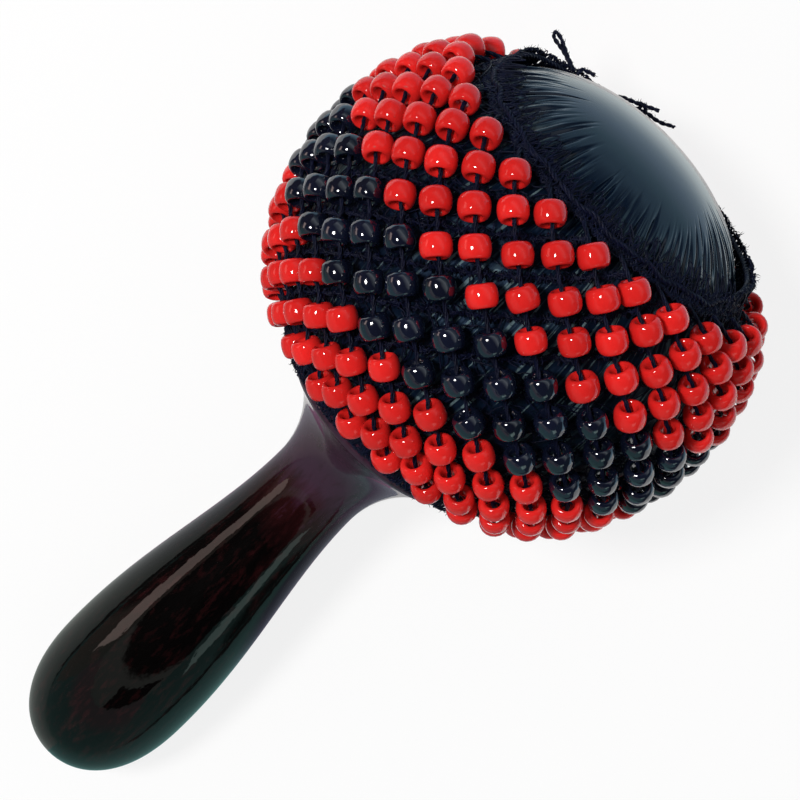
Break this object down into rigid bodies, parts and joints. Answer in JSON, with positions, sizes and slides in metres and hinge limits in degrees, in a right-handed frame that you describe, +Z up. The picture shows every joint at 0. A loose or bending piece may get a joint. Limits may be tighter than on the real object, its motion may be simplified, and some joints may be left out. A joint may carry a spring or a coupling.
{
  "type": "cabasa",
  "caption": "Hand-held beaded shaker: a hollow ball on a turned wooden handle, in a crocheted net of beads that slips round the ball.",
  "frame": {"origin": "on the surface that the instrument lies on, under the middle of its box", "axes": "+X along the instrument from the butt of the handle towards the dome, +Z up; the instrument lies on its beads and its butt, so its own axis rises about 15 degrees towards the dome"},
  "size_m": [0.2634, 0.1402, 0.1403],
  "materials": {
    "handle_wood": "dark red-brown stain under a gloss lacquer",
    "ball_gloss": "black, high gloss",
    "red_bead": "opaque red, gloss",
    "black_bead": "opaque black, gloss",
    "net_thread": "black crochet thread",
    "fixing_steel": "plain zinc-plated steel"
  },
  "bodies": {
    "handle_and_ball": {"handle": "handle_wood", "lower_shell": "ball_gloss", "upper_shell": "ball_gloss", "screw_washer": "fixing_steel", "handle_screw": "fixing_steel"},
    "bead_net": {"red_bead_row_01": "red_bead", "red_bead_row_02": "red_bead", "red_bead_row_03": "red_bead", "red_bead_row_04": "red_bead", "red_bead_row_05": "red_bead", "black_bead_row_06": "black_bead", "black_bead_row_07": "black_bead", "black_bead_row_08": "black_bead", "black_bead_row_09": "black_bead", "red_bead_row_10": "red_bead", "red_bead_row_11": "red_bead", "red_bead_row_12": "red_bead", "red_bead_row_13": "red_bead", "red_bead_row_14": "red_bead", "bead_strands": "net_thread", "net_cords": "net_thread", "top_edging": "net_thread", "bottom_edging": "net_thread", "top_drawstring": "net_thread", "bottom_drawstring": "net_thread", "drawstring_tails": "net_thread"}
  },
  "joints": [
    {"name": "net_turn", "type": "hinge", "parent": "handle_and_ball", "child": "bead_net", "pos_m": [0.06944, 0, 0.07007], "axis": [0.965, 0, 0.2622], "continuous": true}
  ]
}
